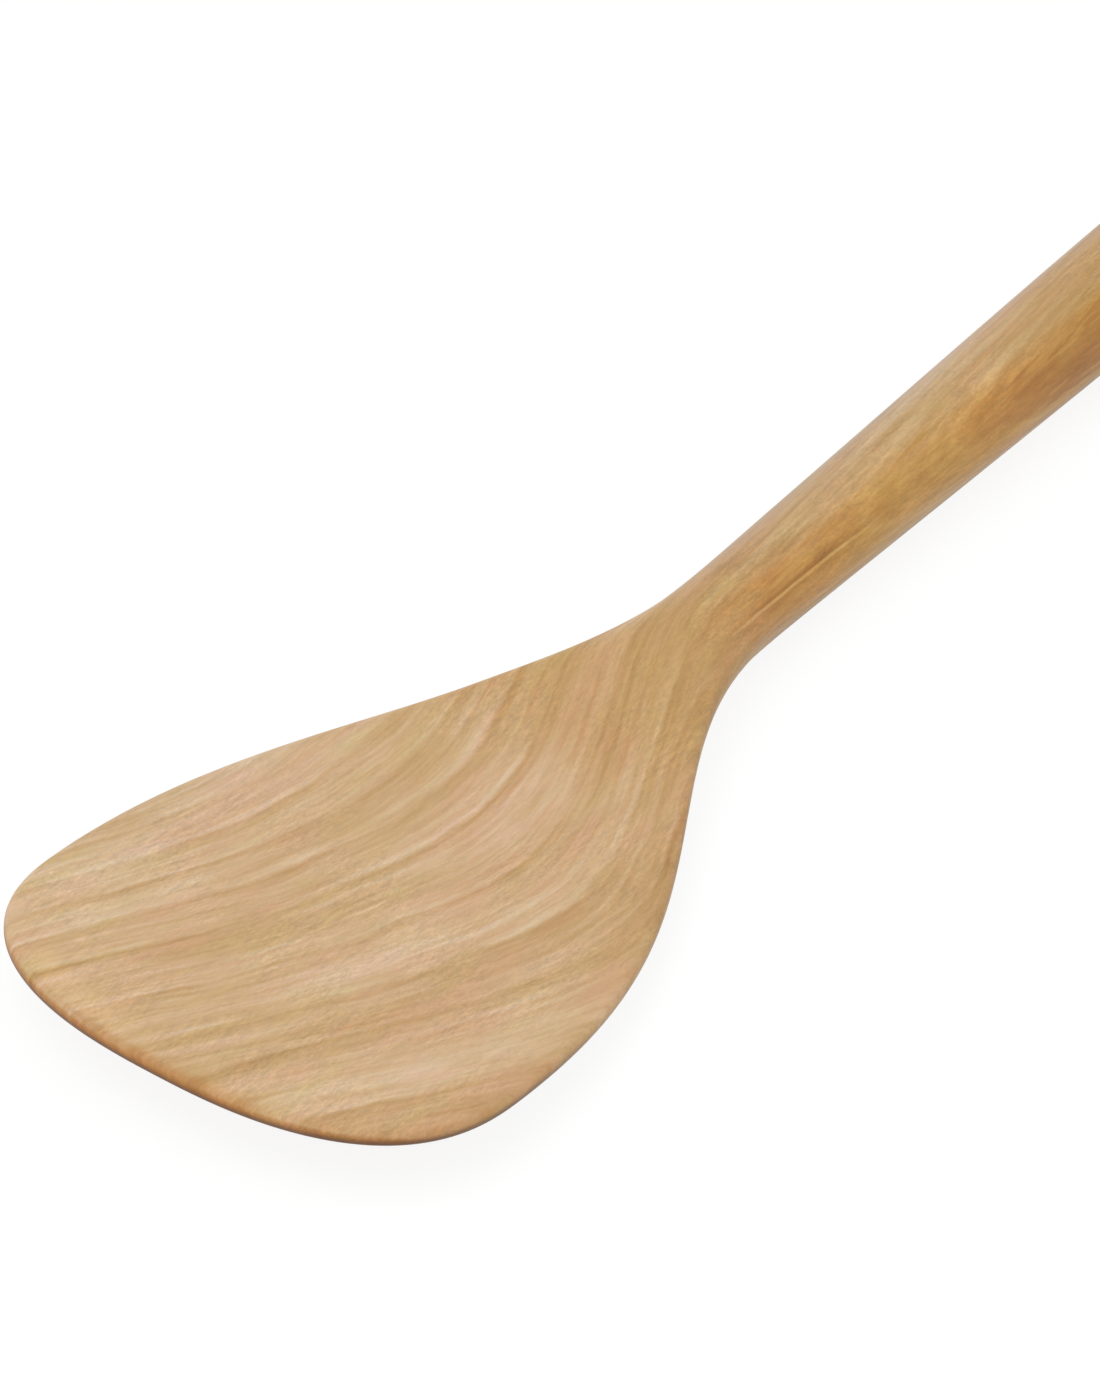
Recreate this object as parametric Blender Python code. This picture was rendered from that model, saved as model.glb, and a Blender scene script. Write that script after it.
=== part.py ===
"""One-piece wooden turner: a broad thin blade, a scooped neck and a round handle, carved from one board.

The front edge of the blade is at the -X end and the butt of the handle at the +X end. The turner lies on
z = 0: it touches there with a small sanded sole under the blade and with the underside of the handle.
"""

import math

import bmesh
import bpy
import numpy as np

# Plan view, in metres. Places along the turner are measured from the front edge.
LENGTH = 0.330
BLADE_WIDTH = 0.0904
WIDEST_AT = 0.0305
FRONT_SQUARENESS = 2.5
SHOULDER_FULLNESS = 0.059
NECK_LEAD_IN = 0.0445
NECK_AT = 0.148
NECK_WIDTH = 0.0165
NECK_LEAD_OUT = 0.010
GRIP_LEAD_IN = 0.052
GRIP_TO_BUTT = 0.045
GRIP_DIAMETER = 0.0202
BUTT_SQUARENESS = 2.8

# Side view, in metres: how high the middle of the blade's edge runs above the table
FRONT_EDGE_HEIGHT = 0.0100
WIDEST_EDGE_HEIGHT = 0.0082
LOWEST_EDGE_HEIGHT = 0.0055
RISING_EDGE_HEIGHT = 0.0063
SHOULDER_EDGE_HEIGHT = 0.0092

# Sections, in metres
EDGE_THICKNESS = 0.0023
SHOULDER_EDGE_THICKNESS = 0.0056
EDGE_SQUARENESS = 2.4
DISH_AT_WIDEST = 0.0003
DISH_AT_LOWEST = 0.0008
SCOOP_HEIGHT = 0.0082
THROAT_HEIGHT = 0.0133
WIDEST_THICKNESS = 0.0042
SOLE_FLAT_DEPTH = 0.0006
HEEL_CLEARANCE = 0.0003
NECK_THICKNESS = 0.0152
NECK_CLEARANCE = 0.0004

# Places along the blade, as shares of the way from the front edge to the neck
LOWEST_SHARE = 0.45
SOLE_SHARE = 0.54
RISING_SHARE = 0.68
HEEL_SHARE = 0.74
SCOOP_SHARE = 0.75
SHOULDER_SHARE = 0.865
ROUNDING_STARTS_SHARE = 0.70
HANDLE_SHARES = (0.0, 0.2, 0.5, 0.8, 1.0)

# Mesh density
FACE_STEPS = 14
EDGE_STEPS = 4
CORNER_ROWS = 9
BLADE_ROW_SPACING = 0.005
HANDLE_ROW_SPACING = 0.0075
BUTT_ROWS = 9

# Where the front edge turns into the sides, and where a round section's sides meet its faces
FRONT_CORNER = math.radians(45)
ROUND_SIDE = math.radians(24)

# Sizes and places that follow from those above
HALF_BLADE = BLADE_WIDTH / 2
HALF_NECK = NECK_WIDTH / 2
HALF_EDGE = EDGE_THICKNESS / 2
GRIP_AT = LENGTH - GRIP_TO_BUTT
GRIP_RADIUS = GRIP_DIAMETER / 2
LOWEST_AT = LOWEST_SHARE * NECK_AT
SOLE_AT = SOLE_SHARE * NECK_AT
RISING_AT = RISING_SHARE * NECK_AT
HEEL_AT = HEEL_SHARE * NECK_AT
SCOOP_AT = SCOOP_SHARE * NECK_AT
SHOULDER_AT = SHOULDER_SHARE * NECK_AT
WIDEST_TOP = WIDEST_EDGE_HEIGHT + HALF_EDGE - DISH_AT_WIDEST
LOWEST_TOP = LOWEST_EDGE_HEIGHT + HALF_EDGE - DISH_AT_LOWEST
MIDDLE_STEP = FACE_STEPS // 2


def smooth_step(t):
    """Rise gently from 0 to 1 while t goes from 0 to 1."""
    t = np.clip(t, 0.0, 1.0)
    return t * t * (3.0 - 2.0 * t)


def curve_through(stations):
    """Return the natural cubic spline through (place, value) stations, as a function of the place."""
    places = np.array([place for place, _ in stations])
    values = np.array([value for _, value in stations])
    gaps = np.diff(places)
    slopes = np.diff(values) / gaps
    count = len(places)
    system = np.eye(count)
    target = np.zeros(count)
    for i in range(1, count - 1):
        system[i, i - 1] = gaps[i - 1]
        system[i, i] = 2.0 * (gaps[i - 1] + gaps[i])
        system[i, i + 1] = gaps[i]
        target[i] = 6.0 * (slopes[i] - slopes[i - 1])
    bends = np.linalg.solve(system, target)

    def value_at(x):
        i = min(max(int(np.searchsorted(places, x)) - 1, 0), count - 2)
        back = places[i + 1] - x
        ahead = x - places[i]
        cubic = (bends[i] * back**3 + bends[i + 1] * ahead**3) / (6.0 * gaps[i])
        from_here = (values[i] / gaps[i] - bends[i] * gaps[i] / 6.0) * back
        from_next = (values[i + 1] / gaps[i] - bends[i + 1] * gaps[i] / 6.0) * ahead
        return float(cubic + from_here + from_next)

    return value_at


def level_curve(start, end, start_lead, end_lead):
    """Return the Bezier curve that leaves start and reaches end level, as a function of the place."""
    t = np.linspace(0.0, 1.0, 401)
    near = (1.0 - t) ** 3 + 3.0 * t * (1.0 - t) ** 2
    far = 1.0 - near
    x = near * start[0] + far * end[0]
    x += 3.0 * t * (1.0 - t) ** 2 * start_lead - 3.0 * t**2 * (1.0 - t) * end_lead
    y = near * start[1] + far * end[1]
    return lambda place: float(np.interp(place, x, y))


shoulder_line = level_curve((WIDEST_AT, HALF_BLADE), (NECK_AT, HALF_NECK), SHOULDER_FULLNESS, NECK_LEAD_IN)
handle_line = level_curve((NECK_AT, HALF_NECK), (GRIP_AT, GRIP_RADIUS), NECK_LEAD_OUT, GRIP_LEAD_IN)


def half_width(x):
    """Half the turner's width, from the widest place of the blade to the grip."""
    return shoulder_line(x) if x < NECK_AT else handle_line(x)


def handle_half_height(x):
    """Half the handle's height: slightly flattened at the neck, and round at the grip."""
    to_grip = (x - NECK_AT) / (GRIP_AT - NECK_AT)
    flatness = NECK_THICKNESS / NECK_WIDTH
    return half_width(x) * (flatness + (1.0 - flatness) * to_grip)


def handle_axis(x):
    """Height of the handle's axis, a straight line that rises from the neck through the grip."""
    at_neck = NECK_CLEARANCE + NECK_THICKNESS / 2
    return at_neck + (GRIP_RADIUS - at_neck) * (x - NECK_AT) / (GRIP_AT - NECK_AT)


handle_stations = [NECK_AT + share * (GRIP_AT - NECK_AT) for share in HANDLE_SHARES]

edge_height = curve_through(
    [
        (0.0, FRONT_EDGE_HEIGHT),
        (WIDEST_AT, WIDEST_EDGE_HEIGHT),
        (LOWEST_AT, LOWEST_EDGE_HEIGHT),
        (RISING_AT, RISING_EDGE_HEIGHT),
        (SHOULDER_AT, SHOULDER_EDGE_HEIGHT),
    ]
    + [(x, handle_axis(x)) for x in handle_stations]
)
top_height = curve_through(
    [
        (0.0, FRONT_EDGE_HEIGHT + HALF_EDGE),
        (WIDEST_AT, WIDEST_TOP),
        (LOWEST_AT, LOWEST_TOP),
        (SCOOP_AT, SCOOP_HEIGHT),
        (SHOULDER_AT, THROAT_HEIGHT),
    ]
    + [(x, handle_axis(x) + handle_half_height(x)) for x in handle_stations]
)
underside_height = curve_through(
    [
        (0.0, FRONT_EDGE_HEIGHT - HALF_EDGE),
        (WIDEST_AT, WIDEST_TOP - WIDEST_THICKNESS),
        (SOLE_AT, -SOLE_FLAT_DEPTH),
        (HEEL_AT, HEEL_CLEARANCE),
    ]
    + [(x, handle_axis(x) - handle_half_height(x)) for x in handle_stations]
)


def roundness(x):
    """0 on the flat blade and 1 from the neck on, where the section is round."""
    start = ROUNDING_STARTS_SHARE * NECK_AT
    return float(smooth_step((x - start) / (NECK_AT - start)))


def superellipse(angle, squareness):
    """Cos and sin of the angle, bent outwards so that a circle becomes a superellipse."""
    power = 2.0 / squareness
    c = math.cos(angle)
    s = math.sin(angle)
    return math.copysign(abs(c) ** power, c), math.copysign(abs(s) ** power, s)


def front_outline(angle):
    """Point and outward normal of the front edge in plan: 0 is its middle, 90 degrees the widest place."""
    c, s = superellipse(angle, FRONT_SQUARENESS)
    point = np.array([WIDEST_AT * (1.0 - c), HALF_BLADE * s])
    steep = FRONT_SQUARENESS - 1.0
    normal = np.array([-(abs(c) ** steep) / WIDEST_AT, math.copysign(abs(s) ** steep, s) / HALF_BLADE])
    return point, normal / np.linalg.norm(normal)


def side_outline(x):
    """Point and outward normal of the left side in plan, behind the widest place."""
    step = 0.0002
    slope = (half_width(x + step) - half_width(x - step)) / (2.0 * step)
    normal = np.array([-slope, 1.0])
    return np.array([x, half_width(x)]), normal / np.linalg.norm(normal)


def butt_outline(angle):
    """Point and outward normal of the left side in plan, on the rounded butt."""
    c, s = superellipse(angle, BUTT_SQUARENESS)
    return np.array([GRIP_AT + GRIP_TO_BUTT * s, GRIP_RADIUS * c]), np.array([0.0, 1.0])


def places_between(start, end, spacing):
    """Evenly spaced places after start, up to and with end."""
    return np.linspace(start, end, round((end - start) / spacing) + 1)[1:]


def side_outlines():
    """The left side's outline at each row, from the front corner to the last ring before the butt."""
    corner = [front_outline(angle) for angle in np.linspace(FRONT_CORNER, math.pi / 2, CORNER_ROWS + 1)]
    blade = [side_outline(x) for x in places_between(WIDEST_AT, NECK_AT, BLADE_ROW_SPACING)]
    handle = [side_outline(x) for x in places_between(NECK_AT, GRIP_AT, HANDLE_ROW_SPACING)]
    butt = [butt_outline(angle) for angle in np.linspace(0.0, math.pi / 2, BUTT_ROWS + 1)[1:-1]]
    return corner + blade + handle + butt


def on_table(point):
    """Centre the length on the origin and sand off whatever would reach below the table."""
    return (point[0] - LENGTH / 2, point[1], max(point[2], 0.0))


def edge_profile(step):
    """Inset and height of a point of the eased edge, as shares of half its thickness, top first."""
    inward, upward = superellipse(math.pi * (0.5 - step / EDGE_STEPS), EDGE_SQUARENESS)
    return 1.0 - inward, upward


def front_edge_outline(step):
    """Point and outward normal of the front edge for one step across it, from right to left."""
    return front_outline(FRONT_CORNER * (2.0 * step / FACE_STEPS - 1.0))


def front_edge_point(step, edge_step):
    """A point of the eased edge along the front of the blade."""
    point, normal = front_edge_outline(step)
    inset, upward = edge_profile(edge_step)
    plan = point - normal * HALF_EDGE * inset
    face_border = point - normal * HALF_EDGE
    return on_table((plan[0], plan[1], edge_height(face_border[0]) + HALF_EDGE * upward))


front_edge = [front_edge_outline(step) for step in range(FACE_STEPS + 1)]
front_border = [point - normal * HALF_EDGE for point, normal in front_edge]
front_corner_x = front_border[-1][0]
front_bow = front_corner_x - front_border[MIDDLE_STEP][0]


class Row:
    """One row of points round the turner, bowed like the front edge on the blade and straight behind it."""

    def __init__(self, outline):
        self.point, self.normal = outline
        self.x, self.half_width = self.point
        self.roundness = roundness(self.x)
        self.half_edge = HALF_EDGE + (SHOULDER_EDGE_THICKNESS / 2 - HALF_EDGE) * self.roundness
        self.border = self.point - self.normal * self.half_edge
        straightness = smooth_step((self.border[0] - front_corner_x) / (LOWEST_AT - front_corner_x))
        self.middle_x = self.border[0] - front_bow * (1.0 - straightness)
        if self.x > GRIP_AT:
            self.axis = handle_axis(self.x)
            self.half_height = self.half_width
        else:
            self.axis = (top_height(self.x) + underside_height(self.x)) / 2
            self.half_height = (top_height(self.x) - underside_height(self.x)) / 2

    def blend(self, flat, angle, hand):
        """Turn a point of the flat blade into the round section's point, as far as this row is round."""
        y = hand * self.half_width * math.cos(angle)
        z = self.axis + self.half_height * math.sin(angle)
        ring = np.array([self.x, y, z])
        return on_table(np.array(flat) * (1.0 - self.roundness) + ring * self.roundness)

    def face_point(self, step, side):
        """A point of the upper face (side 1) or the lower face (side -1), from right to left."""
        bow = (front_border[step][0] - front_border[MIDDLE_STEP][0]) / front_bow
        across = front_border[step][1] / front_border[-1][1]
        x = self.middle_x + (self.border[0] - self.middle_x) * bow
        face_height = top_height if side > 0 else underside_height
        border_height = edge_height(x) + side * self.half_edge
        crown = face_height(self.middle_x) - edge_height(self.middle_x) - side * self.half_edge
        flat = (x, self.border[1] * across, border_height + crown * (1.0 - across**2))
        angle = side * (ROUND_SIDE + (math.pi - 2.0 * ROUND_SIDE) * step / FACE_STEPS)
        return self.blend(flat, angle, -1)

    def edge_point(self, step, hand):
        """A point of the eased edge, from the top down; hand is -1 on the right and 1 on the left."""
        inset, upward = edge_profile(step)
        plan = self.point - self.normal * self.half_edge * inset
        flat = (plan[0], hand * plan[1], edge_height(self.border[0]) + self.half_edge * upward)
        return self.blend(flat, ROUND_SIDE * (1.0 - 2.0 * step / EDGE_STEPS), hand)


def join(mesh, first, second):
    """Fill the gap between two lines of vertices with quads."""
    for i in range(len(first) - 1):
        mesh.faces.new((first[i], first[i + 1], second[i + 1], second[i]))


def turner_mesh():
    """Loft the blade, neck and handle as one closed skin."""
    mesh = bmesh.new()
    rows = [Row(outline) for outline in side_outlines()]
    face_steps = range(FACE_STEPS + 1)
    edge_steps = range(1, EDGE_STEPS)
    upper = [[mesh.verts.new(row.face_point(step, 1)) for step in face_steps] for row in rows]
    lower = [[mesh.verts.new(row.face_point(step, -1)) for step in face_steps] for row in rows]
    right = [[mesh.verts.new(row.edge_point(step, -1)) for step in edge_steps] for row in rows]
    left = [[mesh.verts.new(row.edge_point(step, 1)) for step in edge_steps] for row in rows]
    for i in range(len(rows) - 1):
        join(mesh, upper[i], upper[i + 1])
        join(mesh, lower[i], lower[i + 1])

    # The eased edge runs from the butt along the right side, round the front and back along the left side
    edge = [[upper[i][0], *right[i], lower[i][0]] for i in reversed(range(len(rows)))]
    for step in range(1, FACE_STEPS):
        eased = [mesh.verts.new(front_edge_point(step, edge_step)) for edge_step in edge_steps]
        edge.append([upper[0][step], *eased, lower[0][step]])
    edge += [[upper[i][-1], *left[i], lower[i][-1]] for i in range(len(rows))]
    for i in range(len(edge) - 1):
        join(mesh, edge[i], edge[i + 1])

    butt = mesh.verts.new(on_table((LENGTH, 0.0, handle_axis(LENGTH))))
    ring = [*upper[-1], *left[-1], *reversed(lower[-1]), *reversed(right[-1])]
    for i in range(len(ring)):
        mesh.faces.new((ring[i], ring[(i + 1) % len(ring)], butt))

    bmesh.ops.recalc_face_normals(mesh, faces=mesh.faces)
    data = bpy.data.meshes.new("wooden_turner")
    mesh.to_mesh(data)
    mesh.free()
    data.shade_smooth()
    return data


def oiled_wood():
    """Pale tan hardwood with an oiled, satin surface."""
    material = bpy.data.materials.new("oiled_wood")
    material.use_nodes = True
    surface = material.node_tree.nodes["Principled BSDF"]
    surface.inputs["Base Color"].default_value = (0.578, 0.381, 0.202, 1.0)
    surface.inputs["Roughness"].default_value = 0.5
    surface.inputs["Metallic"].default_value = 0.0
    return material


def main():
    for old in list(bpy.data.objects):
        bpy.data.objects.remove(old, do_unlink=True)
    turner = bpy.data.objects.new("wooden_turner", turner_mesh())
    turner.data.materials.append(oiled_wood())
    bpy.context.scene.collection.objects.link(turner)


main()
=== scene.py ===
# %% [markdown]
# # A wooden turner, carved from one board
#
# The turner lifts and turns food in a pan. Its maker saws the outline from a board, thins and dishes the
# blade, scoops the neck, rounds the handle, sands everything and rubs in oil. There is no joint in it, so
# what we have to make is one flowing skin and one good piece of wood.
#
# First we load the measured part. It is the frame that our own, finer model has to fit: same place, same
# size.

# %% Bring in the measured part
import math

import bmesh
import bpy
import numpy as np
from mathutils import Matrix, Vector, kdtree


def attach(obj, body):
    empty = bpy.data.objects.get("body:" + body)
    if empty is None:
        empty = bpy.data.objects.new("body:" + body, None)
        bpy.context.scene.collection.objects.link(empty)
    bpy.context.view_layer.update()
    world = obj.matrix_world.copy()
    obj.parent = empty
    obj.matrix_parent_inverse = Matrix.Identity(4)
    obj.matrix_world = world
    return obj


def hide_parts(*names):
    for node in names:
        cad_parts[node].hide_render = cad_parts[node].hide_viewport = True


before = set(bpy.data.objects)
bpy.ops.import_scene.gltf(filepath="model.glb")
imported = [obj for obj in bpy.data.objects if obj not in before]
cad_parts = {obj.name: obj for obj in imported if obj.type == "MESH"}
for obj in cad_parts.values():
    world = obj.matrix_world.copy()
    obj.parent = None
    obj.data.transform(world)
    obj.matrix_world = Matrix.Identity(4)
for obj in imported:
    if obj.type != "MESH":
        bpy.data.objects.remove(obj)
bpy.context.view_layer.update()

# %% [markdown]
# ## The outline from above
#
# All lengths below are in millimetres, and places along the turner are counted from the front edge of the
# blade. The front is half of a superellipse: rounder at the corners than an ellipse, flatter in the middle.
# From the widest place the sides run in one level-ended curve to the neck and in another to the grip.
#
# We could draw this outline by hand as a Blender curve. Written as a few sizes and two small functions it
# stays exact, and every section that we cut through the turner later can ask it for its width.

# %% Sizes seen from above
LENGTH = 330.0
BLADE_WIDTH = 90.4
WIDEST_AT = 30.5
FRONT_SQUARENESS = 2.5
SHOULDER_FULLNESS = 59.0
NECK_LEAD_IN = 44.5
NECK_AT = 148.0
NECK_WIDTH = 16.5
NECK_LEAD_OUT = 10.0
GRIP_LEAD_IN = 52.0
GRIP_AT = 285.0
GRIP_DIAMETER = 20.2
BUTT_SQUARENESS = 2.8
print("blade", BLADE_WIDTH, "wide, neck", NECK_WIDTH, "and grip", GRIP_DIAMETER, "thick, all in mm")

# %% Curves for the sides


def level_curve(start, end, start_lead, end_lead):
    """The Bezier curve that leaves start and reaches end level, as a function of the place."""
    t = np.linspace(0.0, 1.0, 801)
    near = (1.0 - t) ** 3 + 3.0 * t * (1.0 - t) ** 2
    far = 1.0 - near
    x = near * start[0] + far * end[0]
    x += 3.0 * t * (1.0 - t) ** 2 * start_lead - 3.0 * t**2 * (1.0 - t) * end_lead
    y = near * start[1] + far * end[1]
    return lambda place: float(np.interp(place, x, y))


def superellipse(angle, squareness):
    """Cos and sin of the angle, bent outwards so that a circle becomes a superellipse."""
    power = 2.0 / squareness
    c = math.cos(angle)
    s = math.sin(angle)
    return math.copysign(abs(c) ** power, c), math.copysign(abs(s) ** power, s)


widest = (WIDEST_AT, BLADE_WIDTH / 2)
neck = (NECK_AT, NECK_WIDTH / 2)
grip = (GRIP_AT, GRIP_DIAMETER / 2)
shoulder = level_curve(widest, neck, SHOULDER_FULLNESS, NECK_LEAD_IN)
handle = level_curve(neck, grip, NECK_LEAD_OUT, GRIP_LEAD_IN)


def half_width(x):
    """Half the turner's width, from the widest place of the blade to the grip."""
    return shoulder(x) if x < NECK_AT else handle(x)


print("half widths:", {x: round(half_width(x), 1) for x in (40, 80, 120, 148, 200, 280)})

# %% [markdown]
# ## The side view
#
# Seen from the side, the blade is a shallow ladle: the front edge is lifted 10 mm, the middle lies on the
# table, and behind it the scoop climbs through the throat to the top of the handle. Three smooth lines
# describe it: the height of the rim, of the upper face's middle and of the underside's middle. Each is a
# natural cubic spline through a few stations, the bend that a thin wooden batten takes round pins.

# %% Heights seen from the side
EDGE_THICKNESS = 2.3
SHOULDER_EDGE_THICKNESS = 5.6
EDGE_ROLL = 1.6
EDGE_SQUARENESS = 2.4
NECK_THICKNESS = 15.2
NECK_CLEARANCE = 0.4
RIM_STATIONS = [(0.0, 10.0), (30.5, 8.2), (66.6, 5.5), (100.64, 6.3), (128.02, 9.2)]
UPPER_STATIONS = [(0.0, 11.15), (30.5, 9.05), (66.6, 5.85), (111.0, 8.2), (128.02, 13.3)]
LOWER_STATIONS = [(0.0, 8.85), (30.5, 4.85), (79.92, -0.6), (109.52, 0.3)]


def curve_through(stations):
    """The natural cubic spline through (place, value) stations, as a function of the place."""
    places, values = np.array(stations).T
    gaps = np.diff(places)
    slopes = np.diff(values) / gaps
    count = len(places)
    system = np.eye(count)
    target = np.zeros(count)
    for i in range(1, count - 1):
        system[i, i - 1 : i + 2] = gaps[i - 1], 2.0 * (gaps[i - 1] + gaps[i]), gaps[i]
        target[i] = 6.0 * (slopes[i] - slopes[i - 1])
    bends = np.linalg.solve(system, target)

    def value_at(x):
        i = min(max(int(np.searchsorted(places, x)) - 1, 0), count - 2)
        back, ahead, gap = places[i + 1] - x, x - places[i], gaps[i]
        cubic = (bends[i] * back**3 + bends[i + 1] * ahead**3) / (6.0 * gap)
        from_here = (values[i] / gap - bends[i] * gap / 6.0) * back
        from_next = (values[i + 1] / gap - bends[i + 1] * gap / 6.0) * ahead
        return float(cubic + from_here + from_next)

    return value_at


def handle_half_height(x):
    """Half the handle's height: slightly flattened at the neck, and round at the grip."""
    to_grip = (x - NECK_AT) / (GRIP_AT - NECK_AT)
    flatness = NECK_THICKNESS / NECK_WIDTH
    return half_width(x) * (flatness + (1.0 - flatness) * to_grip)


def handle_axis(x):
    """Height of the handle's axis, a straight line that rises from the neck through the grip."""
    at_neck = NECK_CLEARANCE + NECK_THICKNESS / 2
    return at_neck + (GRIP_DIAMETER / 2 - at_neck) * (x - NECK_AT) / (GRIP_AT - NECK_AT)


handle_places = [NECK_AT + share * (GRIP_AT - NECK_AT) for share in (0.0, 0.2, 0.5, 0.8, 1.0)]
handle_middle = [(x, handle_axis(x)) for x in handle_places]
handle_top = [(x, handle_axis(x) + handle_half_height(x)) for x in handle_places]
handle_bottom = [(x, handle_axis(x) - handle_half_height(x)) for x in handle_places]
rim_height = curve_through(RIM_STATIONS + handle_middle)
upper_height = curve_through(UPPER_STATIONS + handle_top)
lower_height = curve_through(LOWER_STATIONS + handle_bottom)
print("upper face:", {x: round(upper_height(x), 1) for x in (0, 40, 80, 120, 148, 240)})

# %% [markdown]
# ## From outline to rows of points
#
# The skin is lofted: we cut many sections across the turner, lay points round each one and join them. On
# the blade a section is thin and dished, with a slightly rounded edge. From the shoulders on it turns
# gradually into a circle. Rows near the front bow like the front edge, so that no row ever crosses it, and
# they straighten out by the middle of the blade.

# %% Density and outline of the rows
FACE_STEPS = 48
EDGE_STEPS = 14
CORNER_ROWS = 34
BLADE_ROW_SPACING = 1.0
HANDLE_ROW_SPACING = 1.6
BUTT_ROWS = 26
FRONT_CORNER = math.radians(45)
ROUND_SIDE = math.radians(24)
ROUND_FROM = 0.7 * NECK_AT
STRAIGHT_FROM = 66.6


def front_outline(angle):
    """Point and outward normal of the front edge: 0 is its middle, 90 degrees the widest place."""
    c, s = superellipse(angle, FRONT_SQUARENESS)
    steep = FRONT_SQUARENESS - 1.0
    normal = np.array([-(abs(c) ** steep) / WIDEST_AT, math.copysign(abs(s) ** steep, s) / (BLADE_WIDTH / 2)])
    return np.array([WIDEST_AT * (1.0 - c), BLADE_WIDTH / 2 * s]), normal / np.linalg.norm(normal)


def side_outline(x):
    """Point and outward normal of the left side behind the widest place."""
    step = 0.2
    slope = (half_width(x + step) - half_width(x - step)) / (2.0 * step)
    normal = np.array([-slope, 1.0])
    return np.array([x, half_width(x)]), normal / np.linalg.norm(normal)


def butt_outline(angle):
    """Point and outward normal of the left side on the rounded butt."""
    c, s = superellipse(angle, BUTT_SQUARENESS)
    return np.array([GRIP_AT + (LENGTH - GRIP_AT) * s, GRIP_DIAMETER / 2 * c]), np.array([0.0, 1.0])


def places_between(start, end, spacing):
    """Evenly spaced places after start, up to and with end."""
    return np.linspace(start, end, round((end - start) / spacing) + 1)[1:]


side = [front_outline(a) for a in np.linspace(FRONT_CORNER, math.pi / 2, CORNER_ROWS + 1)]
side += [side_outline(x) for x in places_between(WIDEST_AT, NECK_AT, BLADE_ROW_SPACING)]
side += [side_outline(x) for x in places_between(NECK_AT, GRIP_AT, HANDLE_ROW_SPACING)]
side += [butt_outline(a) for a in np.linspace(0.0, math.pi / 2, BUTT_ROWS + 1)[1:-1]]
front = [front_outline(FRONT_CORNER * (2.0 * step / FACE_STEPS - 1.0)) for step in range(FACE_STEPS + 1)]
print(len(side), "rows from the front corner to the butt")

# %% One row of points
front_border = [point - normal * EDGE_ROLL for point, normal in front]
front_middle = front_border[FACE_STEPS // 2]
front_bow = front_border[-1][0] - front_middle[0]


def ease(t):
    """Rise gently from 0 to 1 while t goes from 0 to 1."""
    t = min(max(t, 0.0), 1.0)
    return t * t * (3.0 - 2.0 * t)


def on_table(x, y, z):
    """Centre the length on the origin, and sand off whatever would reach below the table."""
    return Vector((x - LENGTH / 2, y, max(z, 0.0)))


class Row:
    """The points of one section: flat and dished on the blade, round on the handle."""

    def __init__(self, point, normal):
        self.normal = normal
        self.x, self.half_width = point
        self.round = ease((self.x - ROUND_FROM) / (NECK_AT - ROUND_FROM))
        self.half_edge = (EDGE_THICKNESS + (SHOULDER_EDGE_THICKNESS - EDGE_THICKNESS) * self.round) / 2
        self.roll = EDGE_ROLL + (self.half_edge - EDGE_THICKNESS / 2)
        self.border = point - normal * self.roll
        front_end = front_border[-1][0]
        straight = ease((self.border[0] - front_end) / (STRAIGHT_FROM - front_end))
        self.middle_x = self.border[0] - front_bow * (1.0 - straight)
        top, bottom = upper_height(self.x), lower_height(self.x)
        self.axis, self.half_height = (top + bottom) / 2, (top - bottom) / 2
        if self.x > GRIP_AT:
            self.axis, self.half_height = handle_axis(self.x), self.half_width

    def mixed(self, x, y, z, angle, hand):
        """The flat blade's point, moved towards the round handle's point by the row's roundness."""
        flat = on_table(x, y, z)
        ring_y = hand * self.half_width * math.cos(angle)
        ring = on_table(self.x, ring_y, self.axis + self.half_height * math.sin(angle))
        return flat.lerp(ring, self.round)

    def face(self, step, up):
        """A point of the upper face (up = 1) or the underside (up = -1), from right to left."""
        bow = (front_border[step][0] - front_middle[0]) / front_bow
        across = front_border[step][1] / front_border[-1][1]
        x = self.middle_x + (self.border[0] - self.middle_x) * bow
        height = upper_height if up > 0 else lower_height
        crown = height(self.middle_x) - rim_height(self.middle_x) - up * self.half_edge
        z = rim_height(x) + up * self.half_edge + crown * (1.0 - across**2)
        angle = up * (ROUND_SIDE + (math.pi - 2.0 * ROUND_SIDE) * step / FACE_STEPS)
        return self.mixed(x, self.border[1] * across, z, angle, -1)

    def edge(self, step, hand):
        """A point of the rounded edge, from the top down, on the right (-1) or the left (1)."""
        inward, upward = superellipse(math.pi * (0.5 - step / EDGE_STEPS), EDGE_SQUARENESS)
        x, y = self.border + self.normal * self.roll * inward
        z = rim_height(self.border[0]) + self.half_edge * upward
        return self.mixed(x, hand * y, z, ROUND_SIDE * (1.0 - 2.0 * step / EDGE_STEPS), hand)


def front_edge(step, edge_step):
    """A point of the rounded edge along the front of the blade."""
    inward, upward = superellipse(math.pi * (0.5 - edge_step / EDGE_STEPS), EDGE_SQUARENESS)
    half_edge = EDGE_THICKNESS / 2
    x, y = front_border[step] + front[step][1] * EDGE_ROLL * inward
    return on_table(x, y, rim_height(front_border[step][0]) + half_edge * upward)


rows = [Row(point, normal) for point, normal in side]
print("first row's middle:", [round(v, 2) for v in rows[0].face(FACE_STEPS // 2, 1)])

# %% [markdown]
# ## Sewing the skin
#
# The upper face and the underside are two grids of quads. A strip that wraps the edge sews them together:
# it starts at the butt, follows the right side, goes round the front and comes back along the left side.
# A fan of triangles closes the butt. A subdivision surface over a coarse cage would be quicker to set up,
# but it pulls thin edges inwards, and the blade's edge is the thinnest thing here.

# %% Sew the skin
mesh = bmesh.new()


def point_row(points):
    """Vertices at the points, which are in millimetres."""
    return [mesh.verts.new(point * 0.001) for point in points]


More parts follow.
